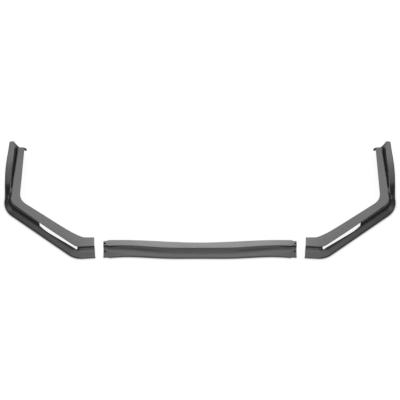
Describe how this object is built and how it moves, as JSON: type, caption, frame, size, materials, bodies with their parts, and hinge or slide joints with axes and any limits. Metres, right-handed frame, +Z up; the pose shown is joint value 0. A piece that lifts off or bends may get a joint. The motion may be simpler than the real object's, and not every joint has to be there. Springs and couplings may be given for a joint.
{
  "type": "front splitter lip",
  "caption": "Car front splitter lip laid out apart: a wavy centre strip with tongue ends, and mirrored corner mouldings with flat shelf, slotted wall and rising side ridge.",
  "frame": {"origin": "on the floor under the middle of the laid-out set", "axes": "+X across the car to the right corner piece, +Y to the rear of the car, +Z up; lower blade edges at Z = 0"},
  "size_m": [1.9064, 0.6106, 0.0806],
  "materials": {
    "black_plastic": "satin black moulded plastic with a fine grain"
  },
  "bodies": {
    "root": {"left_corner_piece": "black_plastic", "centre_piece": "black_plastic", "right_corner_piece": "black_plastic"}
  },
  "joints": []
}
